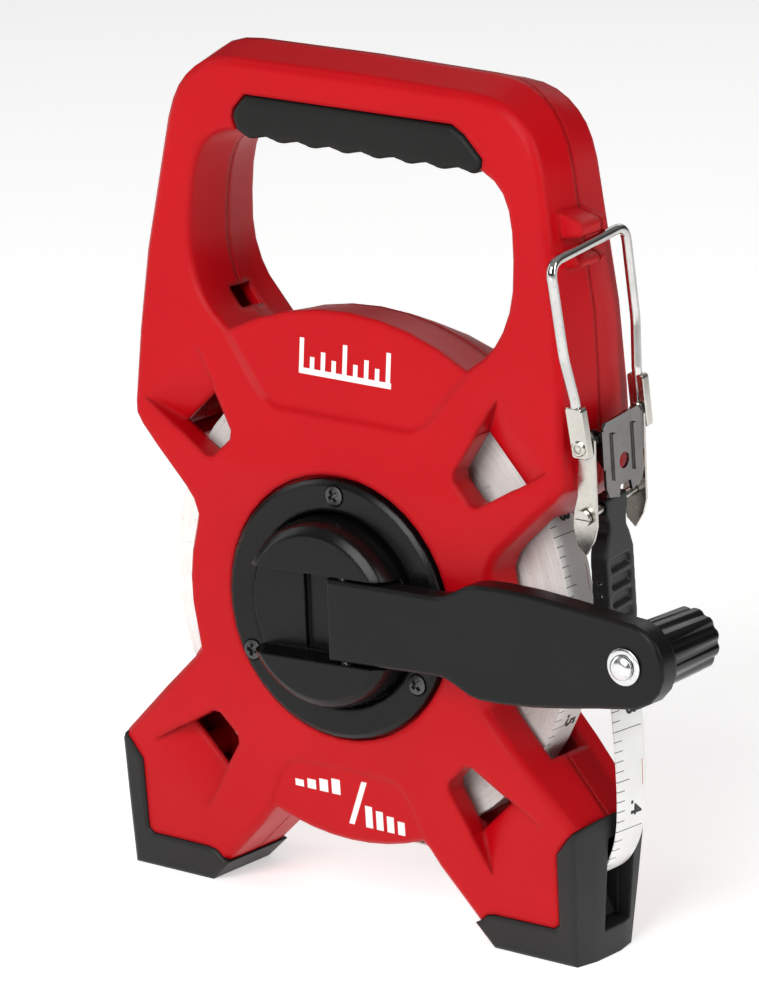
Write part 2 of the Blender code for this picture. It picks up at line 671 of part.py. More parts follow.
hub = built("crank_hub", disc([(HUB_RADIUS, HUB_BACK), (HUB_RADIUS, -25.4), (28.7, -29.0), (27.6, -31.4),
                               (25.6, -32.9), (24.6, HUB_TOP)], 40, 0, 0), BLACK, CRANK)
combine(hub, loft([[(x, CHANNEL_FLOOR, -CHANNEL_HALF), (x, CHANNEL_FLOOR, CHANNEL_HALF),
                    (x, -40, CHANNEL_HALF + 0.8), (x, -40, -CHANNEL_HALF - 0.8)] for x in (-40, 40)]))
combine(hub, box(FOLD_PIN_REACH - 19, FOLD_PIN_REACH + 8, -30, KNUCKLE_FLOOR, 0.4 - CHANNEL_HALF,
                 CHANNEL_HALF - 0.4))
combine(hub, disc([(SPINDLE_RADIUS + GAP, -20.9), (SPINDLE_RADIUS + GAP, -10)], 24, 0, 0))
pin_room = FOLD_PIN_RADIUS + GAP
combine(hub, rod((FOLD_PIN_REACH, FOLD_PIN_Y, -22.4), (FOLD_PIN_REACH, FOLD_PIN_Y, 22.4), pin_room, 16))
built("fold_pin", rod((FOLD_PIN_REACH, FOLD_PIN_Y, -22), (FOLD_PIN_REACH, FOLD_PIN_Y, 22), FOLD_PIN_RADIUS,
                      16),
      STEEL, CRANK)

FOLD = new_empty("fold_axis", FOLD_PIN_REACH, FOLD_PIN_Y, 0, CRANK)
KNOB = new_empty("knob_axis", CRANK_REACH - FOLD_PIN_REACH, 0, 0, FOLD)


def arm_outline():
    """The arm from its knuckle to its round tip."""
    flank = [(FOLD_PIN_REACH - 4.3, 12.6), (30, 12.3), (44, 12.1), (47.5, 12.6), (50.5, 13.9), (56, 16.7),
             (60, 17.5)]
    flank += [(68, 17.6), (79, 17.0), (90, 15.8), (101, 14.3)]
    tip = circle(TIP_RADIUS + 0.6, 8, CRANK_REACH, 0, 75, -150)
    return flank[:] + tip + [(x, -w) for x, w in reversed(flank)]


def knob_ring(radius, y, depth):
    """A ring of the knob with shallow flutes."""
    ring = []
    for i in range(KNOB_FLUTES * 3):
        angle = 2 * math.pi * i / (KNOB_FLUTES * 3)
        r = radius - (depth if i % 3 == 0 else 0)
        ring.append((CRANK_REACH + r * math.cos(angle), y, r * math.sin(angle)))
    return ring


rim = [(ARM_FRONT, -0.9), (ARM_FRONT + 0.9, 0), (ARM_BACK - 0.9, 0), (ARM_BACK, -0.9)]
arm = built("crank_arm", loft([at_depth(offset(arm_outline(), inset), y) for y, inset in rim]), BLACK, FOLD)
combine(arm, rod((FOLD_PIN_REACH, FOLD_PIN_Y, -30), (FOLD_PIN_REACH, FOLD_PIN_Y, 30), pin_room, 16))
combine(arm, disc([(BOLT_RADIUS + GAP, -40), (BOLT_RADIUS + GAP, -20)], 20, CRANK_REACH, 0))
centred(arm, FOLD_PIN_REACH, FOLD_PIN_Y, 0)

washer = turned([(BOLT_RADIUS + GAP, -34.6), (4.6, -34.6), (5.6, -34.2), (5.6, ARM_FRONT - GAP),
                 (BOLT_RADIUS + GAP, ARM_FRONT - GAP)], 28, CRANK_REACH, 0)
centred(built("knob_washer", washer, STEEL, FOLD), FOLD_PIN_REACH, FOLD_PIN_Y, 0)
bolt = disc([(1.4, -36.9), (2.8, -36.5), (3.7, -35.7), (3.9, -34.9), (BOLT_RADIUS, -34.9),
             (BOLT_RADIUS, -1.6)],
            24, CRANK_REACH, 0)
centred(built("knob_bolt", bolt, STEEL, FOLD), FOLD_PIN_REACH, FOLD_PIN_Y, 0)

start, end = ARM_BACK + 0.4, ARM_BACK + 0.4 + KNOB_LENGTH
knob_rings = [(8.4, start, 0.0), (KNOB_RADIUS, start + 1.2, 0.4), (KNOB_RADIUS - 0.5, end - 2.4, 1.0),
              (KNOB_RADIUS - 1.2, end - 0.8, 0.9), (KNOB_RADIUS - 2.4, end, 0.5)]
knob = built("crank_knob", loft([knob_ring(*ring) for ring in knob_rings]), BLACK, KNOB)
combine(knob, disc([(BOLT_RADIUS + GAP, -30), (BOLT_RADIUS + GAP, -1.2)], 20, CRANK_REACH, 0))
centred(knob, CRANK_REACH, FOLD_PIN_Y, 0)


# ---------------------------------------- the tape's free run, from under the roll to the hook


def tape_path():
    """The free run's middle line as (x, y, z, lean of its width), from under the roll, out of the mouth and up."""
    points = [(-2.0, ROLL_Y, 24.0, 0), (30, ROLL_Y + 0.4, 23.2, 0), (60, ROLL_Y + 1.4, 22.4, 0)]
    points += [(72, ROLL_Y + 2.2, 22.6, 0), (78.5, 4.0, 23.8, 0), (83.0, 4.3, 26.6, 0),
               (86.2, 4.5, 31.4, 0.02)]
    points += [(88.3, 4.7, 38.0, 0.05), (88.9, 5.0, 46, 0.09), (88.3, 5.4, 58, 0.13), (86.4, 5.8, 74, 0.13)]
    points += [(84.0, 6.1, 89, 0.06), (82.2, 6.4, 100, 0.0), (HOOK_X, HOOK_Y - 1.3, 116, 0.0)]
    return points


def ribbon(points, width, thickness):
    """A strap whose middle runs in the XZ plane through the points, each with its width along a leaned Y."""
    rings = []
    for i, (x, y, z, lean) in enumerate(points):
        before, after = points[max(0, i - 1)], points[min(len(points) - 1, i + 1)]
        along = Vector((after[0] - before[0], 0, after[2] - before[2])).normalized()
        normal = Vector((along.z, 0, -along.x))
        across = (Vector((0, 1, 0)) + normal * lean).normalized() * (width / 2)
        thick = along.cross(across).normalized() * (thickness / 2)
        centre = Vector((x, y, z))
        rings.append([centre - across - thick, centre + across - thick, centre + across + thick,
                      centre - across + thick])
    return loft(rings)


built("tape_lead", ribbon(tape_path(), TAPE_WIDTH, TAPE_THICKNESS), WHITE)


# ---------------------------------------- sleeve and hook; here Z runs up the hook from its foot

HOOK = new_empty("hook_frame", HOOK_X, HOOK_Y, HOOK_Z, REEL)
HOOK.rotation_euler = (HOOK_LEAN, 0, 0)


def edge_prism(outline, x0, x1):
    """A prism along X from an outline of (y, z) points."""
    return loft([[(x, y, z) for y, z in outline] for x in (x0, x1)])


sleeve_side = [(6.2, -4), (SLEEVE_HALF, -2), (SLEEVE_HALF, 20.5), (5.6, 25.6), (4.4, 28), (4.4, 31),
               (5.6, 34), (5.2, 38.4)]
sleeve = built("tape_end_sleeve", edge_prism(sleeve_side + [(-y, z) for y, z in reversed(sleeve_side)], -2.9,
                                             2.9),
               RUBBER, HOOK)
combine(sleeve, box(-1.2, 1.2, -6.9, 6.9, -10, 16))
for step in range(4):
    combine(sleeve, box(1.9, 5, -4.9, 4.9, -1.2 + 5.6 * step, 2.4 + 5.6 * step))
PIN_UP = 35.6
combine(sleeve, rod((0.6, -20, PIN_UP), (0.6, 20, PIN_UP), 1.8, 16))

plate_outline = [(-2.6, 26.2), (0.2, 23.6), (3.2, 28.4), (4.6, 33), (5.0, 45), (5.4, 60), (4.2, 62.4),
                 (1.6, 62.8)]
plate_outline += [(0.3, 61.0), (-0.9, 50), (-1.6, 42), (-3.2, 37), (-3.8, 32)]
PIVOT_X = BAIL_PIVOT_X - HOOK_X
for name, side in (("hook_plate_front", -1), ("hook_plate_back", 1)):
    near, far = sorted((side * PLATE_INNER, side * PLATE_OUTER))
    plate = built(name, prism(plate_outline, near, far), STEEL, HOOK)
    combine(plate, rod((0.6, -20, PIN_UP), (0.6, 20, PIN_UP), 1.8, 16))
    combine(plate, rod((PIVOT_X, -20, BAIL_PIVOT_UP), (PIVOT_X, 20, BAIL_PIVOT_UP), BAIL_WIRE + GAP, 16))

rivet = built("hook_rivet", rod((0.6, -14.3, PIN_UP), (0.6, 14.3, PIN_UP), 1.5, 16), STEEL, HOOK)
for start, end in ((-15.1, -13.7), (13.7, 15.1)):
    combine(rivet, rod((0.6, start, PIN_UP), (0.6, end, PIN_UP), 2.6, 16), "UNION")
combine(rivet, box(-3, 4, -16, -14.7, PIN_UP - 0.35, PIN_UP + 0.35))

LEAF_X = 5.4
leaf_side = [(9.6, 44), (9.6, 62.6), (8.2, 64.2)]
leaf_outline = leaf_side + [(-y, z) for y, z in reversed(leaf_side)] + [(-8.4, 41), (-3.4, 39.6), (-2.6, 43), (2.6, 43),
                                                                         (3.4, 39.6), (8.4, 41)]
leaf = built("hook_leaf", edge_prism(leaf_outline, LEAF_X, LEAF_X + 1.0), STEEL, HOOK)
combine(leaf, rod((0, 0, 50), (10, 0, 50), 2.5, 20))
for side in (-1, 1):
    low, high = sorted((side * 9.4, side * 10.4))
    lug = [(LEAF_X + 0.98, 50), (LEAF_X + 0.98, 62), (PIVOT_X + 0.5, 62.4), (PIVOT_X - 2.5, 61),
           (PIVOT_X - 2.5, 56.0),
           (PIVOT_X, 54.6)]
    combine(leaf, prism(lug, low, high), "UNION")
    combine(leaf, rod((PIVOT_X, side * 8, BAIL_PIVOT_UP), (PIVOT_X, side * 12, BAIL_PIVOT_UP),
                      BAIL_WIRE + GAP, 16))
    low, high = sorted((side * 4.6, side * 6.0))
    combine(leaf, box(LEAF_X + 0.5, LEAF_X + 1.7, low, high, 45.5, 60.0), "UNION")

BAIL = new_empty("bail_axis", PIVOT_X, 0, BAIL_PIVOT_UP, HOOK)


def bail_line():
    """The wire's middle line from its front stub, up, over and down to its back stub, about the pivot."""
    top_x, top = BAIL_TOP_X - BAIL_PIVOT_X, BAIL_TOP_UP - BAIL_PIVOT_UP
    leg = [(0, -8.9, 0), (0, 1.6 - BAIL_HALF_FOOT, 0), (0, 0.4 - BAIL_HALF_FOOT, 0.5),
           (0, -BAIL_HALF_FOOT, 1.8)]
    leg += [(top_x * 0.25, -16.0, top * 0.25), (top_x * 0.5, 0.7 - BAIL_HALF_TOP, top * 0.5)]
    leg += [(top_x * 0.9, -BAIL_HALF_TOP, top - 6)]
    leg += [(top_x * 0.97, 1.2 - BAIL_HALF_TOP, top - 2.2), (top_x, 4.2 - BAIL_HALF_TOP, top)]
    return leg + [(x, -y, z) for x, y, z in reversed(leg)]


def wire(points, radius, steps=12):
    """A round wire along a line of points."""
    rings, normal = [], Vector((1, 0, 0))
    points = [Vector(point) for point in points]
    for i, point in enumerate(points):
        along = (points[min(len(points) - 1, i + 1)] - points[max(0, i - 1)]).normalized()
        normal = (normal - along * normal.dot(along)).normalized()
        side = along.cross(normal)
        rings.append([point + (normal * c + side * s) * radius for c, s in circle(1, steps)])
    return loft(rings)


built("hook_bail", wire(bail_line(), BAIL_WIRE), STEEL, BAIL)

bpy.context.view_layer.update()
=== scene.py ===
"""Looks for an open reel measuring tape: moulded case, rubber grip and feet, crank, hook and tape.

Sizes are in millimetres and turned into metres with MM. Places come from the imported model's nodes
and joints, except the tape's free run, whose route is written out as the model has it.
"""

import json
import math

import bmesh
import bpy
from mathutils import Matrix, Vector
from mathutils.bvhtree import BVHTree


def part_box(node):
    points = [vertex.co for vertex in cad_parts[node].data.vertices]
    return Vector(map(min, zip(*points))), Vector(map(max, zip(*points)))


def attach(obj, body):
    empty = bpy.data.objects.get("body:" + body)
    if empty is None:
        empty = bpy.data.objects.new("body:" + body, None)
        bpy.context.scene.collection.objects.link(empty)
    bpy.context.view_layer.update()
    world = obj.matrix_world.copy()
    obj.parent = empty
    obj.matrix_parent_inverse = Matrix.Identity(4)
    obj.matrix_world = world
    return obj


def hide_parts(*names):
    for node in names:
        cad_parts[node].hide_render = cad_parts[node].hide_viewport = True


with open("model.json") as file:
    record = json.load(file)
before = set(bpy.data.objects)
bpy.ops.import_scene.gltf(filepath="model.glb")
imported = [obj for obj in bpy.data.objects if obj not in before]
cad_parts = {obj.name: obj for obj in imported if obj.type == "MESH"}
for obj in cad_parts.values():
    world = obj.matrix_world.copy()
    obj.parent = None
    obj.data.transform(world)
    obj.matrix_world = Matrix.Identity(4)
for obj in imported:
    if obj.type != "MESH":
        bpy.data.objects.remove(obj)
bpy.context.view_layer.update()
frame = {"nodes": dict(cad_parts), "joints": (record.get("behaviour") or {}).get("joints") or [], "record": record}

MM = 0.001
NODES = frame["nodes"]
JOINTS = {joint["name"]: joint for joint in frame["joints"]}
# On the spool's axis, and on the case's centre line and parting plane.
HUB = Vector(JOINTS["spool_spin"]["pos_m"])

# The tape's scale: a tick each hundredth of a foot, a longer one each fifth tick, and a full line
# each tenth of a foot.
TICK = 3.048 * MM
TICK_WIDTH = 0.26 * MM
TICK_REACH, FIFTH_REACH, TENTH_REACH = 3.2 * MM, 5.4 * MM, 11.9 * MM
TAPE_WIDTH, TAPE_THICKNESS = 13.0 * MM, 0.5 * MM
FIRST_LINE = 100.7 * MM  # from the start of the free run to the line marked .4

# A red line along the tape, over a part of each tenth: how far in it is, then its middle and half
# its length as shares of the tenth.
RED_REACH = 11.3 * MM
RED_MIDDLE, RED_HALF = 0.53, 0.13

# Figures beside the lines, read along the tape.
FIGURE_HEIGHT = 5.0 * MM
FIGURE_START = 8.6 * MM  # along the tape, from the line to the figure's left side
FIGURE_FOOT = 6.2 * MM  # across the tape, from its front edge to the figure's foot
CAPITAL_SHARE = 0.73  # a capital's height over the font's size
BOLDER = 0.035  # how far an outline is moved out, over the figure's height
ROLL_FIGURES = 15
PRINT = 0.03 * MM  # half the thickness of a printed mark


def spot(x, y, z):
    """A point given in millimetres from the case's centre line, parting plane and floor."""
    return Vector((HUB.x + x * MM, HUB.y + y * MM, z * MM))


# ---------------------------------------------------------------- materials


class Shade:
    """A node material under construction.

    add() puts in a node and returns one of its outputs. It takes a socket's value by the socket's
    name, or by i and its number.
    """

    def __init__(self, name, colour, roughness, metallic=0.0):
        self.material = bpy.data.materials.new(name)
        self.material.use_nodes = True
        self.tree = self.material.node_tree
        self.shader = self.tree.nodes["Principled BSDF"]
        self.shader.inputs["Base Color"].default_value = (*colour, 1)
        self.shader.inputs["Roughness"].default_value = roughness
        self.shader.inputs["Metallic"].default_value = metallic
        self.position = self.add("ShaderNodeTexCoord", output="Object")

    def add(self, kind, output=0, settings=(), **inputs):
        node = self.tree.nodes.new(kind)
        for key, value in dict(settings).items():
            setattr(node, key, value)
        for key, value in inputs.items():
            numbered = key[0] == "i" and key[1:].isdigit()
            self.join(node.inputs[int(key[1:]) if numbered else key], value)
        return node.outputs[output]

    def join(self, socket, value):
        if isinstance(value, bpy.types.NodeSocket):
            self.tree.links.new(value, socket)
        else:
            socket.default_value = value

    def math(self, operation, first, second=0.0):
        return self.add("ShaderNodeMath", settings={"operation": operation}, i0=first, i1=second)

    def noise(self, scale, detail, where=None, roughness=0.5):
        return self.add("ShaderNodeTexNoise", Vector=where or self.position, Scale=scale,
                        Detail=detail, Roughness=roughness)

    def stretched(self, x, y, z):
        return self.add("ShaderNodeMapping", Vector=self.position, Scale=(x, y, z))

    def ranged(self, value, low, high, from_low=0.3, from_high=0.7):
        return self.add("ShaderNodeMapRange", Value=value, i1=from_low, i2=from_high,
                        i3=low, i4=high)

    def mixed(self, share, first, second):
        """The colour between two colours."""
        node = self.tree.nodes.new("ShaderNodeMix")
        node.data_type = "RGBA"
        self.join(node.inputs[0], share)
        for socket, colour in ((node.inputs[6], first), (node.inputs[7], second)):
            self.join(socket, colour if isinstance(colour, bpy.types.NodeSocket) else (*colour, 1))
        return node.outputs[2]

    def shine(self, **sockets):
        """Values that are the same all over, set on the shader's own sockets."""
        for name, value in sockets.items():
            self.shader.inputs[name.replace("_", " ")].default_value = value

    def bump(self, height, depth, strength, edge=0.0):
        """Relief from a height, over a softening of every edge by a radius of edge millimetres."""
        normal = self.add("ShaderNodeBump", Height=height, Distance=depth, Strength=strength)
        if edge:
            soft = self.add("ShaderNodeBevel", settings={"samples": 4}, Radius=edge * MM)
            self.join(normal.node.inputs["Normal"], soft)
        self.join(self.shader.inputs["Normal"], normal)


def moulded(name, colour, roughness, grain, depth, shift, specular, edge=0.0):
    """Moulded plastic or rubber: a fine grain, cloudy colour and faint rubbed patches."""
    shade = Shade(name, colour, roughness)
    clouds = shade.noise(22, 4)
    fine = shade.noise(grain, 2)
    darker = [c * (1 - shift) for c in colour]
    lighter = [min(1, c * (1 + shift) + 0.0005) for c in colour]
    dusty = [min(1, c * 1.3 + 0.003) for c in colour]
    base = shade.mixed(shade.ranged(clouds, 0.0, 1.0), darker, lighter)
    speck = shade.ranged(shade.noise(grain * 0.6, 1), 0.0, 0.10, 0.62, 0.80)
    shade.join(shade.shader.inputs["Base Color"], shade.mixed(speck, base, dusty))
    patches = shade.ranged(shade.noise(60, 5), -0.05, 0.06)
    rubbed = shade.math("ADD", patches, shade.ranged(fine, -0.04, 0.04))
    shade.join(shade.shader.inputs["Roughness"], shade.math("ADD", rubbed, roughness))
    shade.bump(fine, depth, 0.6, edge)
    shade.shine(Specular_IOR_Level=specular)
    return shade.material


def metal(name, colour, roughness, scratch=(900, 90, 90), depth=0.004 * MM):
    """Plated or plain steel with fine scratches along one way and small spots in its plating."""
    shade = Shade(name, colour, roughness, 1.0)
    lines = shade.noise(1, 4, shade.stretched(*scratch), 0.7)
    spots = shade.ranged(shade.noise(700, 3), 0.0, 0.5, 0.60, 0.72)
    clouds = shade.ranged(shade.noise(140, 3), 0.0, 1.0)
    clouded = shade.mixed(clouds, [c * 0.82 for c in colour], colour)
    spotted = shade.mixed(spots, clouded, [c * 0.55 for c in colour])
    shade.join(shade.shader.inputs["Base Color"], spotted)
    worn = shade.math("ADD", shade.ranged(lines, -0.06, 0.10), roughness)
    shade.join(shade.shader.inputs["Roughness"], worn)
    shade.bump(lines, depth, 0.5)
    return shade.material


def scale_marks(shade, along, across):
    """(black, red) masks of the scale, from metres along the tape and in from its front edge."""

    def line(pitch, reach):
        turn = shade.math("FRACT", shade.math("ADD", shade.math("DIVIDE", along, pitch), 0.5))
        near = shade.math("ABSOLUTE", shade.math("SUBTRACT", turn, 0.5))
        mark = shade.math("LESS_THAN", near, TICK_WIDTH / pitch / 2)
        return shade.math("MULTIPLY", mark, shade.math("LESS_THAN", across, reach))

    black = shade.math("MAXIMUM", line(TICK, TICK_REACH), line(TICK * 5, FIFTH_REACH))
    black = shade.math("MAXIMUM", black, line(TICK * 10, TENTH_REACH))
    tenth = shade.math("FRACT", shade.math("DIVIDE", along, TICK * 10))
    stretch = shade.math("COMPARE", tenth, RED_MIDDLE)
    stretch.node.inputs[2].default_value = RED_HALF
    beside = shade.math("COMPARE", across, RED_REACH)
    beside.node.inputs[2].default_value = TICK_WIDTH / 2
    return black, shade.math("MULTIPLY", stretch, beside)


def printed(shade, base, along, across, black_ink=(0.03, 0.03, 0.035)):
    """The colour of the tape with its scale on it."""
    black, red = scale_marks(shade, along, across)
    return shade.mixed(black, shade.mixed(red, base, (0.55, 0.02, 0.03)), black_ink)


def tape_strip_material():
    shade = Shade("tape_coating", (0.83, 0.82, 0.80), 0.42)
    along = shade.add("ShaderNodeSeparateXYZ", Vector=shade.add("ShaderNodeUVMap"))
    across = along.node.outputs[1]
    weave = shade.noise(1, 3, shade.stretched(900, 1600, 900))
    clouds = shade.ranged(shade.noise(70, 3), 0, 1)
    base = shade.mixed(clouds, (0.78, 0.77, 0.745), (0.88, 0.875, 0.86))
    shade.join(shade.shader.inputs["Base Color"], printed(shade, base, along, across))
    shade.join(shade.shader.inputs["Roughness"], shade.ranged(weave, 0.34, 0.5))
    shade.bump(weave, 0.012 * MM, 0.5)
    shade.shine(Specular_IOR_Level=0.5)
    return shade.material


def tape_roll_material(radius, front):
    """The wound roll: edges of its turns on the flat sides, and the tape's scale round its rim."""
    shade = Shade("wound_tape", (0.80, 0.78, 0.73), 0.55)
    split = shade.add("ShaderNodeSeparateXYZ", Vector=shade.position)
    x = shade.math("SUBTRACT", split, HUB.x)
    z = shade.math("SUBTRACT", split.node.outputs[2], HUB.z)
    squares = (shade.math("MULTIPLY", value, value) for value in (x, z))
    reach = shade.math("SQRT", shade.math("ADD", *squares))
    turn = shade.math("ARCTAN2", z, x)

    def round_the_axis(outwards, round_it):
        return shade.add("ShaderNodeCombineXYZ", X=shade.math("MULTIPLY", reach, outwards),
                         Y=shade.math("MULTIPLY", turn, round_it), Z=0.0)

    layers = shade.noise(1, 3, round_the_axis(1900, 1.6), 0.6)
    scuffs = shade.noise(1, 5, round_the_axis(320, 9.0), 0.65)
    layered = shade.ranged(layers, 0, 1, 0.35, 0.65)
    scuffed = shade.ranged(scuffs, 0, 0.75, 0.45, 0.75)
    dirty = shade.ranged(shade.noise(420, 4), 0, 0.6, 0.63, 0.75)
    side = shade.mixed(layered, (0.74, 0.725, 0.69), (0.87, 0.86, 0.835))
    side = shade.mixed(scuffed, side, (0.92, 0.91, 0.885))
    side = shade.mixed(dirty, side, (0.40, 0.38, 0.34))
    across = shade.math("SUBTRACT", split.node.outputs[1], front)
    along = shade.math("MULTIPLY", turn, radius)
    rim = printed(shade, (0.80, 0.79, 0.765), along, across, (0.04, 0.04, 0.045))
    on_rim = shade.math("GREATER_THAN", reach, radius - 0.25 * MM)
    shade.join(shade.shader.inputs["Base Color"], shade.mixed(on_rim, side, rim))
    shade.bump(layers, 0.05 * MM, 0.5)
    return shade.material


# moulded() takes colour, roughness, grain, depth, shift, specular and edge.
RED = moulded("red_abs", (0.46, 0.0008, 0.0048), 0.36, 2600, 0.010 * MM, 0.05, 0.16, 2.6)
RUBBER = moulded("black_overmould", (0.0088, 0.0088, 0.0082), 0.50, 3200, 0.016 * MM, 0.2, 0.18)
FOOT = moulded("foot_rubber", (0.0165, 0.0165, 0.016), 0.48, 3000, 0.014 * MM, 0.18, 0.25, 1.2)
NYLON = moulded("black_nylon", (0.0048, 0.0048, 0.0048), 0.34, 2800, 0.010 * MM, 0.18, 0.22, 0.9)
COVER = moulded("black_cover", (0.0032, 0.0032, 0.0031), 0.25, 2200, 0.008 * MM, 0.18, 0.22, 0.9)
KNOB = moulded("gloss_knob", (0.003, 0.003, 0.0032), 0.17, 1500, 0.004 * MM, 0.15, 0.32)
SLEEVE = moulded("sleeve_rubber", (0.009, 0.0095, 0.010), 0.4, 3000, 0.010 * MM, 0.15, 0.3)
NICKEL = metal("nickel_plate", (0.60, 0.58, 0.53), 0.22, (120, 900, 120))
WIRE = metal("bright_wire", (0.62, 0.61, 0.59), 0.09, (300, 300, 60))
SPRING = metal("spring_leaf", (0.20, 0.195, 0.19), 0.12, (200, 900, 200))
SCREW = metal("black_screw", (0.10, 0.10, 0.10), 0.38)
ZINC = metal("zinc_plate", (0.78, 0.79, 0.80), 0.22)
ACETAL = moulded("natural_acetal", (0.72, 0.70, 0.64), 0.42, 2000, 0.006 * MM, 0.05, 0.5)
WHITE_INK = moulded("white_ink", (0.80, 0.79, 0.78), 0.5, 3000, 0.004 * MM, 0.03, 0.4)
BLACK_INK = moulded("black_ink", (0.022, 0.022, 0.026), 0.5, 3000, 0.002 * MM, 0.1, 0.4)
TAPE = tape_strip_material()

BY_SLOT = {"red_case": RED, "black_rubber": RUBBER, "black_nylon": NYLON, "black_knob": KNOB,
           "dark_steel": SCREW, "nickel_steel": NICKEL, "natural_acetal": ACETAL,
           "white_tape": TAPE}
BY_NODE = {"foot_cap_right": FOOT, "foot_cap_left": FOOT, "hub_cover": COVER, "rear_cap": COVER,
           "crank_hub": COVER, "tape_end_sleeve": SLEEVE, "hook_bail": WIRE, "hook_leaf": SPRING,
           "knob_bolt": ZINC, "knob_washer": ZINC}


# ---------------------------------------------------------------- the model's own pieces


WELD_WITHIN = 0.01 * MM
SEAM_UNDER, EDGE_OVER = math.radians(1.2), math.radians(28)


def rounded(obj, width, segments):
    """Merges imported faces, takes out seams in flat ones and rounds the edges that are left."""
    weld = obj.modifiers.new("weld", "WELD")
    weld.merge_threshold = WELD_WITHIN
    flat = obj.modifiers.new("flat", "DECIMATE")
    flat.decimate_type = "DISSOLVE"
    flat.angle_limit = SEAM_UNDER
    bevel = obj.modifiers.new("bevel", "BEVEL")
    bevel.width = width * MM
    bevel.segments = segments
    bevel.limit_method = "ANGLE"
    bevel.angle_limit = EDGE_OVER
    bevel.miter_outer = "MITER_ARC"
    weighted = obj.modifiers.new("weighted", "WEIGHTED_NORMAL")
    weighted.weight = 60
    weighted.keep_sharp = False


# Bevel widths in millimetres.
ROUNDING = {"front_shell": 1.8, "back_shell": 1.8, "foot_cap_right": 1.0, "foot_cap_left": 1.0,
            "hub_cover": 0.5, "rear_cap": 0.6, "crank_hub": 0.6, "crank_arm": 0.8,
            "crank_knob": 0.7, "hook_plate_front": 0.25, "hook_plate_back": 0.25,
            "hook_leaf": 0.25}
SMALLEST_ROUNDING = 0.12
# Voxel size in millimetres, and rounds of smoothing, for the pieces that are remeshed instead.
SOFT = {"grip": (0.8, 10), "tape_end_sleeve": (0.45, 4)}


def softened(obj, voxel, rounds):
    """Turns a crisp rubber piece into a soft one, by remeshing it finely and relaxing it."""
    weld = obj.modifiers.new("weld", "WELD")
    weld.merge_threshold = WELD_WITHIN
    remesh = obj.modifiers.new("remesh", "REMESH")
    remesh.mode = "VOXEL"
    remesh.voxel_size = voxel * MM
    remesh.use_smooth_shade = True
    relax = obj.modifiers.new("relax", "SMOOTH")
    relax.factor = 0.5
    relax.iterations = rounds


for subpart in frame["record"]["subparts"]:
    name = subpart["node"]
    node = NODES[name]
    node.data.materials.clear()
    node.data.materials.append(BY_NODE.get(name, BY_SLOT[subpart["material_slot"]]))
    custom = node.data.attributes.get("custom_normal")
    if custom:
        node.data.attributes.remove(custom)
    node.data.shade_smooth()
    if name in SOFT:
        softened(node, *SOFT[name])
    else:
        width = ROUNDING.get(name, SMALLEST_ROUNDING)
        rounded(node, width, 3 if name.endswith("shell") else 2)

roll_low, roll_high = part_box("tape_roll")
ROLL_RADIUS = (roll_high.z - roll_low.z) / 2
NODES["tape_roll"].data.materials[0] = tape_roll_material(ROLL_RADIUS, roll_low.y)


# ---------------------------------------------------------------- new pieces


def piece(name, bm, material, body, stands_for=(), sharp=30):
    """A finished mesh piece that rides on a body, and stands for the model's nodes if given any."""
    bmesh.ops.remove_doubles(bm, verts=bm.verts, dist=0.000001)
    bmesh.ops.recalc_face_normals(bm, faces=bm.faces)
    mesh = bpy.data.meshes.new(name)
    bm.to_mesh(mesh)
    bm.free()
    mesh.shade_smooth()
    mesh.set_sharp_from_angle(angle=math.radians(sharp))
    mesh.materials.append(material)
    obj = bpy.data.objects.new(name, mesh)
    bpy.context.scene.collection.objects.link(obj)
    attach(obj, body)
    if stands_for:
        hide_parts(*stands_for)


def smooth_line(points, steps=8):
    """A Catmull-Rom line through points of any number of values."""

    def between(a, b, c, d, t):
        square, cube = 2 * a - 5 * b + 4 * c - d, 3 * b - a - 3 * c + d
        return 0.5 * (2 * b + (c - a) * t + square * t * t + cube * t ** 3)

    line = []
    last = len(points) - 1
    for i in range(last):
        around = [points[min(last, max(0, i + k))] for k in (-1, 0, 1, 2)]
        for step in range(steps):
            line.append([between(*values, step / steps) for values in zip(*around)])
    return line + [list(points[-1])]


# The free run's middle line, as the model has it: x, y and z in millimetres, and its width's lean.
TAPE_ROUTE = [(-2.0, 1.5, 24.0, 0), (30, 1.9, 23.2, 0), (60, 2.9, 22.4, 0), (72, 3.7, 22.6, 0),
              (78.5, 4.0, 23.8, 0), (83.0, 4.3, 26.6, 0), (86.2, 4.5, 31.4, 0.02),
              (88.3, 4.7, 38.0, 0.05), (88.9, 5.0, 46, 0.09), (88.3, 5.4, 58, 0.13),
              (86.4, 5.8, 74, 0.13), (84.0, 6.1, 89, 0.06), (82.2, 6.4, 100, 0.0),
              (81.8, 4.9, 116, 0.0)]


class Tape:
    """The free run: place(along, across, lift) is a point on its outer face."""

    def __init__(self):
        line = smooth_line(TAPE_ROUTE)
        self.stations = []
        length = 0.0
        for i, (x, y, z, lean) in enumerate(line):
            before, after = line[max(0, i - 1)], line[min(len(line) - 1, i + 1)]
            heading = Vector((after[0] - before[0], 0, after[2] - before[2])).normalized()
            outwards = Vector((heading.z, 0, -heading.x))
            across = (Vector((0, 1, 0)) + outwards * lean).normalized()
            outwards = heading.cross(across).normalized() * -1
            centre = spot(x, y, z)
            if self.stations:
                length += (centre - self.stations[-1][1]).length
            self.stations.append((length, centre, across, outwards))

    def place(self, along, across, lift):
        for (low, *one), (high, *two) in zip(self.stations, self.stations[1:]):
            if along <= high:
                break
        share = (along - low) / (high - low)
        centre, side, outwards = (a.lerp(b, share) for a, b in zip(one, two))
        return centre + side * (across - TAPE_WIDTH / 2) + outwards * (TAPE_THICKNESS / 2 + lift)


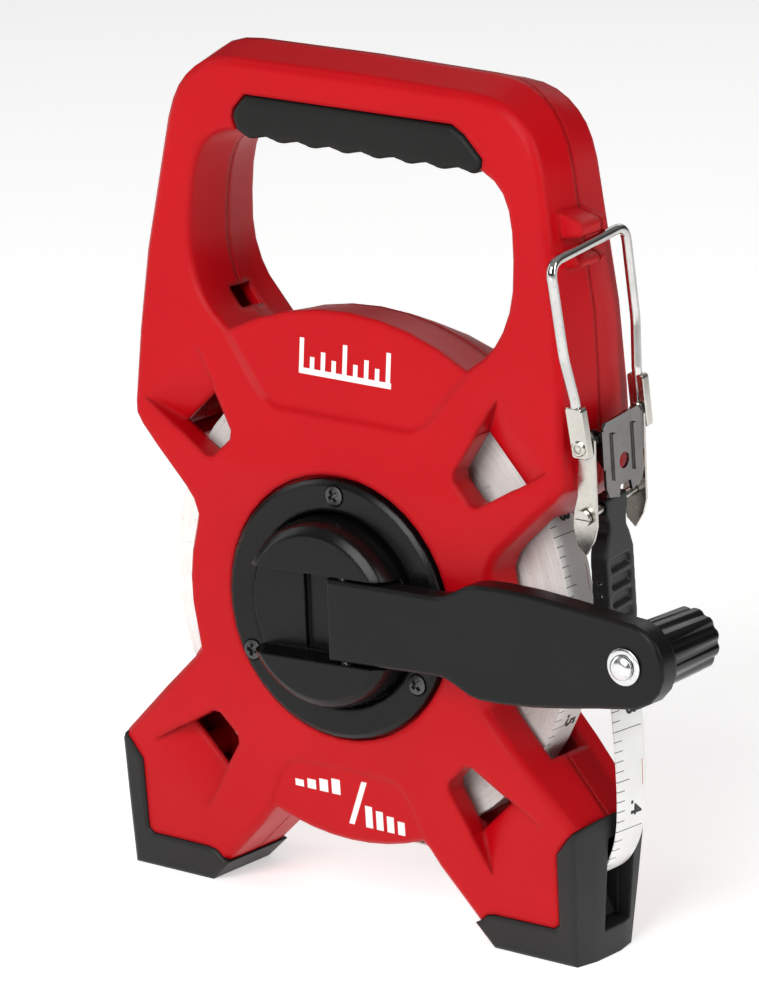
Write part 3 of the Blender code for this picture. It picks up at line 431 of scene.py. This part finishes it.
def tape_strip(tape):
    """The free run as a thin closed strap.

    Its UV map holds metres along it, from the first line, and across it, from the front edge.
    """
    bm = bmesh.new()
    uv = bm.loops.layers.uv.new("scale")
    shares = (0.0, 0.02, 0.25, 0.5, 0.75, 0.98, 1.0)
    rows = []
    for along, _, _, _ in tape.stations:
        ring = [(share * TAPE_WIDTH, 0) for share in shares]
        ring += [(share * TAPE_WIDTH, -TAPE_THICKNESS) for share in reversed(shares)]
        rows.append([(bm.verts.new(tape.place(along, across, lift)), along, across)
                     for across, lift in ring])

    def face(corners):
        made = bm.faces.new([corner[0] for corner in corners])
        for loop, (_, u, v) in zip(made.loops, corners):
            loop[uv].uv = (u - FIRST_LINE, v)

    for low, high in zip(rows, rows[1:]):
        for i in range(len(low)):
            j = (i + 1) % len(low)
            face((low[i], low[j], high[j], high[i]))
    face(rows[0][::-1])
    face(rows[-1])
    piece("tape_free_run", bm, TAPE, "case", ["tape_lead"], 50)


def figure(name, words, line, place, body):
    """Figures beside a line that is so many metres along the tape.

    place(along, across, lift) is a point on the tape.
    """
    font = bpy.data.curves.new(name, "FONT")
    font.body = words
    font.size = FIGURE_HEIGHT / CAPITAL_SHARE
    font.resolution_u = 3
    font.extrude = 0.5
    font.offset = FIGURE_HEIGHT * BOLDER
    drawn = bpy.data.objects.new(name, font)
    bpy.context.scene.collection.objects.link(drawn)
    bpy.context.view_layer.update()
    graph = bpy.context.evaluated_depsgraph_get()
    mesh = bpy.data.meshes.new_from_object(drawn.evaluated_get(graph))
    bpy.data.objects.remove(drawn)
    bm = bmesh.new()
    bm.from_mesh(mesh)
    bpy.data.meshes.remove(mesh)
    for vert in bm.verts:
        right, up, out = vert.co
        lift = PRINT if out > 0 else -PRINT
        vert.co = place(line + FIGURE_START - right, FIGURE_FOOT + up, lift)
    piece(name, bm, BLACK_INK, body)


def rim_place(along, across, lift):
    """A point on the roll's rim: metres round it from its +X side, and in from its front edge."""
    angle = along / ROLL_RADIUS
    reach = ROLL_RADIUS + lift
    return Vector((HUB.x + reach * math.cos(angle), roll_low.y + across,
                   HUB.z + reach * math.sin(angle)))


tape = Tape()
tape_strip(tape)
for i, words in enumerate((".4", ".3")):
    figure(f"tape_figure_{i + 1}", words, FIRST_LINE + i * 10 * TICK, tape.place, "case")
for i in range(ROLL_FIGURES):
    figure(f"roll_figure_{i + 1:02d}", f".{(9 - i) % 10}", i * 10 * TICK, rim_place, "spool")


# ---------------------------------------------------------------- hook and screws


def filleted(points, radii, steps=8):
    """A line through the points with each inner corner rounded to its radius."""
    points = [Vector(point) for point in points]
    line = [points[0]]
    for before, corner, after, radius in zip(points, points[1:], points[2:], radii):
        back, onward = before - corner, after - corner
        half = back.angle(onward) / 2
        reach = min(radius / math.tan(half), 0.48 * back.length, 0.48 * onward.length)
        start, end = corner + back.normalized() * reach, corner + onward.normalized() * reach
        for step in range(steps + 1):
            t = step / steps
            line.append(start * (1 - t) ** 2 + corner * 2 * t * (1 - t) + end * t * t)
    return line + [points[-1]]


def round_about(sides):
    """The angles of so many points evenly round a circle."""
    return [2 * math.pi * k / sides for k in range(sides)]


def tube(bm, line, radius, sides=20):
    """A closed round tube along a line of points."""
    normal, rings = Vector((1, 0, 0)), []
    for i, point in enumerate(line):
        along = (line[min(len(line) - 1, i + 1)] - line[max(0, i - 1)]).normalized()
        normal = (normal - along * normal.dot(along)).normalized()
        side = along.cross(normal)
        rings.append([bm.verts.new(point + (normal * math.cos(t) + side * math.sin(t)) * radius)
                      for t in round_about(sides)])
    skinned(bm, rings)


def skinned(bm, rings, capped=True):
    """Faces between neighbouring rings of the same number of points."""
    for low, high in zip(rings, rings[1:]):
        for i in range(len(low)):
            j = (i + 1) % len(low)
            bm.faces.new((low[i], low[j], high[j], high[i]))
    if capped:
        bm.faces.new(rings[0][::-1])
        bm.faces.new(rings[-1])


def domed(bm, middle, rings):
    """Faces from a middle point to the first ring, then from ring to ring, open at the end."""
    for i, vert in enumerate(rings[0]):
        bm.faces.new((middle, vert, rings[0][(i + 1) % len(rings[0])]))
    skinned(bm, rings, capped=False)


BAIL_PIVOT = Vector(JOINTS["bail_swing"]["pos_m"])
BAIL_AXIS = Vector(JOINTS["bail_swing"]["axis"]).normalized()
BAIL_UP = Vector((1, 0, 0)).cross(BAIL_AXIS).normalized()
# In millimetres about the pivot: how high and how far out the top bar's middle line is, half its
# length, how far along the axis each foot is, and the wire's radius.
BAIL_TOP, BAIL_LEAN, BAIL_HALF, BAIL_FOOT, BAIL_WIRE = 56.5, -4.7, 19.2, 15.2, 1.55


def at_bail(x, y, z):
    """A point in millimetres about the bail's pivot: x outwards, y along its axis, z up it."""
    return BAIL_PIVOT + (Vector((1, 0, 0)) * x + BAIL_AXIS * y + BAIL_UP * z) * MM


def bail_wire():
    leg = [(0, -8.9, 0), (0, -BAIL_FOOT, 0), (BAIL_LEAN * 0.25, -16.0, BAIL_TOP * 0.25),
           (BAIL_LEAN * 0.5, -18.5, BAIL_TOP * 0.5), (BAIL_LEAN, -BAIL_HALF, BAIL_TOP)]
    points = leg + [(x, -y, z) for x, y, z in reversed(leg)]
    radii = [1.8, 9, 30, 5.0]
    line = filleted([at_bail(*point) for point in points], [r * MM for r in radii + radii[::-1]])
    bm = bmesh.new()
    tube(bm, line, BAIL_WIRE * MM)
    piece("bail_wire", bm, WIRE, "bail", ["hook_bail"], 60)


def bail_strap(name, side):
    """The folded strap that closes a leg's foot over the pivot, with its ring rivet.

    side is -1 for the front leg and 1 for the back one.
    """
    corner, half_width, low, high = 1.0, 2.9, -3.3, 12.4
    spread = 0.045  # outwards, for each millimetre up
    inner, outer, edge = BAIL_FOOT - 1.3, BAIL_FOOT + 1.8, 0.3
    corners = [(1, low + corner, -90), (1, high - corner, 0),
               (-1, high - corner, 90), (-1, low + corner, 180)]
    bm = bmesh.new()
    rings = []
    for y, inset in ((inner, edge), (inner + edge, 0), (outer - edge, 0), (outer, edge)):
        ring = []
        for way, middle, first in corners:
            for k in range(5):
                turn = math.radians(first + 22.5 * k)
                x = way * (half_width - corner) + (corner - inset) * math.cos(turn)
                z = middle + (corner - inset) * math.sin(turn)
                out = side * (y + spread * max(0, z))
                ring.append(bm.verts.new(at_bail(x + BAIL_LEAN * z / BAIL_TOP, out, z)))
        rings.append(ring)
    skinned(bm, rings)
    rivet = [(0, 0.55), (0.75, 0.5), (0.95, 0.2), (1.3, 0.2), (1.5, 0.75), (2.0, 0.8),
             (2.35, 0.55), (2.4, -0.2)]
    turned(bm, rivet, lambda across, up, out: at_bail(across, side * (outer + out), up), 28)
    piece(name, bm, NICKEL, "bail")


def turned(bm, profile, place, sides):
    """A turned surface from (radius, height) points; the first is on its axis."""
    middle = bm.verts.new(place(0, 0, profile[0][1]))
    rings = []
    for radius, height in profile[1:]:
        rings.append([bm.verts.new(place(radius * math.cos(t), radius * math.sin(t), height))
                      for t in round_about(sides)])
    domed(bm, middle, rings)


def eased(value):
    """A soft step from 0 to 1."""
    value = min(1, max(0, value))
    return value * value * (3 - 2 * value)


def cross_screw(node, turn):
    """A domed screw head with a cross recess, facing the front, in place of a plain one."""
    # In millimetres: the middle's height, the drop to the rim and the side's depth; then half the
    # width of the cross's arms, their reach and their depth, and how softly their edges fall.
    dome, fall, skirt = 0.25, 0.55, 1.2
    arm_half, arm_reach, arm_depth = 0.52, 1.75, 1.0
    side_fall, end_fall = 0.16, 0.2
    circles, sides = 20, 72
    low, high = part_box(node)
    centre = Vector(((low.x + high.x) / 2, low.y, (low.z + high.z) / 2))
    radius = (high.x - low.x) / 2 / MM
    bm = bmesh.new()

    def point(reach, angle):
        u, v = abs(reach * math.cos(angle + turn)), abs(reach * math.sin(angle + turn))
        beside = eased((arm_half - min(u, v)) / side_fall + 0.5)
        within = eased((arm_reach - max(u, v)) / end_fall + 0.5)
        height = dome - fall * (reach / radius) ** 2 - arm_depth * beside * within
        return centre + Vector((reach * math.cos(angle), -height, reach * math.sin(angle))) * MM

    rings = [[bm.verts.new(point(radius * k / circles, t)) for t in round_about(sides)]
             for k in range(1, circles + 1)]
    middle = bm.verts.new(point(0, 0))
    rings.append([bm.verts.new(vert.co + Vector((0, skirt * MM, 0))) for vert in rings[-1]])
    domed(bm, middle, rings)
    piece(node + "_head", bm, SCREW, "case", [node], 40)


def mouth_liner():
    """The black ramp under the tape inside the mouth, and the wall behind its back edge.

    Both outlines are (x, z) in millimetres, from the case's centre line and the floor.
    """
    ramp = [(78.6, 9.2), (79.1, 9.5), (74.9, 17.2), (74.7, 21.2), (74.2, 21.2), (74.2, 17.1)]
    wall = [(79.3, 9.2), (80.4, 9.2), (80.4, 37.4), (75.0, 33.0), (75.0, 17.4)]
    bm = bmesh.new()
    for outline, front, back in ((ramp, -2.8, 11.2), (wall, 11.25, 11.55)):
        skinned(bm, [[bm.verts.new(spot(x, y, z)) for x, z in outline] for y in (front, back)])
    piece("mouth_liner", bm, FOOT, "case")


bail_wire()
mouth_liner()
bail_strap("bail_strap_front", -1)
bail_strap("bail_strap_back", 1)
for number, turn in ((1, 1.0), (2, 1.7), (3, 2.4)):  # radians
    cross_screw(f"cover_screw_{number}", turn)


# ---------------------------------------------------------------- printed marks on the case


SHELL = NODES["front_shell"].data
FRONT = BVHTree.FromPolygons([v.co for v in SHELL.vertices], [p.vertices for p in SHELL.polygons])
WELL_IN_FRONT = -60  # millimetres


def on_front(x, z, lift):
    """The front shell's point at x and z: millimetres from its centre line and the floor."""
    hit, _, _, _ = FRONT.ray_cast(spot(x, WELL_IN_FRONT, z), Vector((0, 1, 0)))
    return hit - Vector((0, lift, 0))


def printed_shapes(name, outlines):
    """Flat white shapes printed on the front shell, from outlines of (x, z) points."""
    bm = bmesh.new()
    for outline in outlines:
        skinned(bm, [[bm.verts.new(on_front(x, z, lift)) for x, z in outline]
                     for lift in (-PRINT, PRINT)])
    piece(name, bm, WHITE_INK, "case")


def bar(left, bottom, width, height):
    right, top = left + width, bottom + height
    return [(left, bottom), (right, bottom), (right, top), (left, top)]


def ruler(left, bottom):
    """A small ruler with nine ticks: a long one each fourth, a middling one halfway."""
    base, pitch, tick = 1.8, 4.0, 1.6
    heights = (9.0, 3.6, 5.6, 3.6)
    ticks = [bar(left + i * pitch, bottom + base, tick, heights[i % 4]) for i in range(9)]
    return [bar(left, bottom, 34, base)] + ticks


def slanted_stroke_and_steps():
    """Four rising bars, a slanted stroke, and four falling bars lower down."""
    rising = [bar(-19 + i * 4.6, 38, 3.2, 2.2 + 0.9 * i) for i in range(4)]
    stroke = [(0.6, 29.4), (2.6, 29.4), (8.2, 44.0), (6.2, 44.0)]
    falling = [bar(7 + i * 4.0, 29.4, 2.6, 7.0 - 0.9 * i) for i in range(4)]
    return rising + [stroke] + falling


printed_shapes("upper_scale_mark", ruler(-17, 167.6))
printed_shapes("lower_scale_mark", slanted_stroke_and_steps())


# ---------------------------------------------------------------- stage


FLOOR_HALF = 12  # metres

# Azimuth and elevation in degrees (0 is in front of the object), then metres away, size and watts.
LIGHTS = {
    "key": (8, 30, 1.7, (1.0, 1.0), 23),
    "side": (92, 25, 1.6, (0.35, 1.2), 8),
    "left": (-70, 20, 1.6, (0.4, 1.3), 4),
    "behind": (200, 30, 1.6, (0.9, 0.5), 1.6),
}
# The sine of a direction's elevation, and the world's grey there; below the horizon it is as at it.
SKY = ((0.0, 0.12), (0.22, 0.05), (0.5, 0.16), (0.8, 0.34))
SKY_STRENGTH = 0.9
# The photograph's angle: degrees round and up, metres away, and the lens in millimetres.
VIEW = (36.354, 15.539, 1.8766, 227.0)
AIM = spot(9.707, -13.3, 131.627)


def stage():
    """A plain pale floor."""
    bm = bmesh.new()
    bmesh.ops.create_grid(bm, x_segments=2, y_segments=2, size=FLOOR_HALF)
    mesh = bpy.data.meshes.new("floor")
    bm.to_mesh(mesh)
    bm.free()
    floor = bpy.data.objects.new("floor", mesh)
    bpy.context.scene.collection.objects.link(floor)
    paper = Shade("paper", (0.90, 0.90, 0.89), 0.9)
    paper.shader.inputs["Emission Color"].default_value = (1, 1, 1, 1)
    paper.shine(Emission_Strength=0.5)
    tone = paper.mixed(paper.ranged(paper.noise(3, 2), 0, 1),
                       (0.895, 0.895, 0.885), (0.91, 0.91, 0.905))
    paper.join(paper.shader.inputs["Base Color"], tone)
    mesh.materials.append(paper.material)


def placed(name, data, azimuth, elevation, distance):
    """A light or camera round the object, aimed at the middle of the picture."""
    obj = bpy.data.objects.new(name, data)
    a, e = math.radians(azimuth), math.radians(elevation)
    back = Vector((math.sin(a) * math.cos(e), -math.cos(a) * math.cos(e), math.sin(e)))
    obj.location = AIM + back * distance
    obj.rotation_euler = back.to_track_quat("Z", "Y").to_euler()
    bpy.context.scene.collection.objects.link(obj)
    return obj


def softbox(name, azimuth, elevation, distance, size, power):
    data = bpy.data.lights.new(name, "AREA")
    data.shape = "RECTANGLE"
    data.size, data.size_y = size
    data.energy = power
    placed(name, data, azimuth, elevation, distance)


def camera(azimuth, elevation, distance, lens):
    data = bpy.data.cameras.new("camera")
    data.sensor_fit = "VERTICAL"
    data.sensor_height = 36
    data.lens = lens
    data.clip_end = 100
    bpy.context.scene.camera = placed("camera", data, azimuth, elevation, distance)


def sky():
    """A grey world that is darkest just above the horizon, for contrast on shiny pieces."""
    world = bpy.data.worlds.new("studio")
    bpy.context.scene.world = world
    world.use_nodes = True
    nodes, links = world.node_tree.nodes, world.node_tree.links
    height = nodes.new("ShaderNodeSeparateXYZ")
    links.new(nodes.new("ShaderNodeTexCoord").outputs["Generated"], height.inputs[0])
    ramp = nodes.new("ShaderNodeValToRGB")
    links.new(height.outputs[2], ramp.inputs[0])
    elements = ramp.color_ramp.elements
    while len(elements) < len(SKY):
        elements.new(0.5)
    for element, (position, grey) in zip(elements, SKY):
        element.position = position
        element.color = (grey, grey, grey, 1)
    links.new(ramp.outputs[0], nodes["Background"].inputs["Color"])
    nodes["Background"].inputs["Strength"].default_value = SKY_STRENGTH


stage()
camera(*VIEW)
for name, settings in LIGHTS.items():
    softbox(name, *settings)
sky()
bpy.context.scene.view_settings.view_transform = "Standard"
